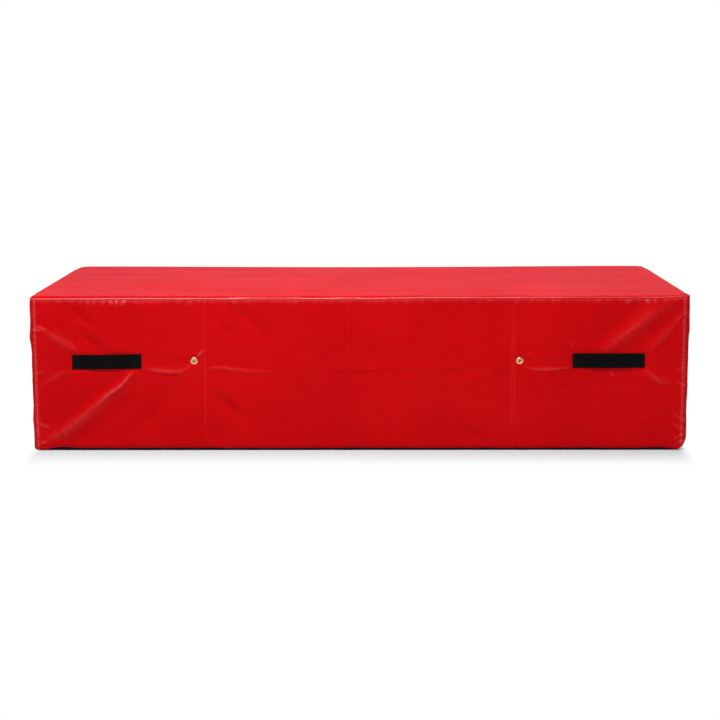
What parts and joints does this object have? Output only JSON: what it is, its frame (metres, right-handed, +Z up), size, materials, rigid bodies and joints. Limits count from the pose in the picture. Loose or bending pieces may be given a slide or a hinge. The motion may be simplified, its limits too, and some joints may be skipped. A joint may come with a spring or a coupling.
{
  "type": "gymnastics coaching block",
  "caption": "Long, low foam block in a zipped, coated-fabric cover with webbing handles and brass vents, for a coach to stand on beside a gymnast.",
  "frame": {"origin": "on the floor, at the middle of the block's footprint", "axes": "+X along the length, to the right of someone facing the front; +Y from the front to the zipped back; +Z up"},
  "size_m": [2, 0.9172, 0.475],
  "materials": {
    "red_cover": "satin",
    "base_cloth": "matte",
    "webbing": "matte",
    "zip_tape": "matte",
    "zip_teeth": "satin",
    "zip_metal": "satin",
    "brass": "satin",
    "core_foam": "matte",
    "firm_top_foam": "matte",
    "firm_base_foam": "matte"
  },
  "bodies": {
    "block": {"foam_base_layer": "firm_base_foam", "foam_core": "core_foam", "foam_top_layer": "firm_top_foam", "cover_top": "red_cover", "cover_front": "red_cover", "cover_back_upper": "red_cover", "cover_back_lower": "red_cover", "cover_left_end": "red_cover", "cover_right_end": "red_cover", "cover_base": "base_cloth", "handle_patch_front_left": "red_cover", "handle_patch_front_right": "red_cover", "handle_patch_back_left": "red_cover", "handle_patch_back_right": "red_cover", "vent_front_left": "brass", "vent_front_right": "brass", "vent_back_left": "brass", "vent_back_right": "brass", "vent_washer_front_left": "brass", "vent_washer_front_right": "brass", "vent_washer_back_left": "brass", "vent_washer_back_right": "brass", "zip_tape_upper": "zip_tape", "zip_tape_lower": "zip_tape", "zip_teeth_upper": "zip_teeth", "zip_teeth_lower": "zip_teeth", "zip_top_stop_upper": "zip_metal", "zip_top_stop_lower": "zip_metal", "zip_bottom_stop": "zip_metal", "zip_end_tab_left": "red_cover", "zip_end_tab_right": "red_cover"},
    "front_left_strap": {"handle_front_left": "webbing"},
    "front_right_strap": {"handle_front_right": "webbing"},
    "back_left_strap": {"handle_back_left": "webbing"},
    "back_right_strap": {"handle_back_right": "webbing"},
    "slider": {"zip_slider": "zip_metal"},
    "pull": {"zip_pull": "zip_metal"}
  },
  "joints": [
    {"name": "front_left_draw", "type": "slide", "parent": "block", "child": "front_left_strap", "axis": [0, -1, 0], "range_m": [0, 0.02], "stiffness_N_per_m": 150, "deforming": ["handle_front_left"]},
    {"name": "front_right_draw", "type": "slide", "parent": "block", "child": "front_right_strap", "axis": [0, -1, 0], "range_m": [0, 0.02], "stiffness_N_per_m": 150, "deforming": ["handle_front_right"]},
    {"name": "back_left_draw", "type": "slide", "parent": "block", "child": "back_left_strap", "axis": [0, 1, 0], "range_m": [0, 0.02], "stiffness_N_per_m": 150, "deforming": ["handle_back_left"]},
    {"name": "back_right_draw", "type": "slide", "parent": "block", "child": "back_right_strap", "axis": [0, 1, 0], "range_m": [0, 0.02], "stiffness_N_per_m": 150, "deforming": ["handle_back_right"]},
    {"name": "zip_run", "type": "slide", "parent": "block", "child": "slider", "axis": [1, 0, 0], "range_m": [0, 1.846], "deforming": ["zip_teeth_upper", "zip_teeth_lower"]},
    {"name": "pull_swing", "type": "hinge", "parent": "slider", "child": "pull", "pos_m": [-0.9232, 0.4532, 0.055], "axis": [0, 0, 1], "range_deg": [0, 170]}
  ]
}
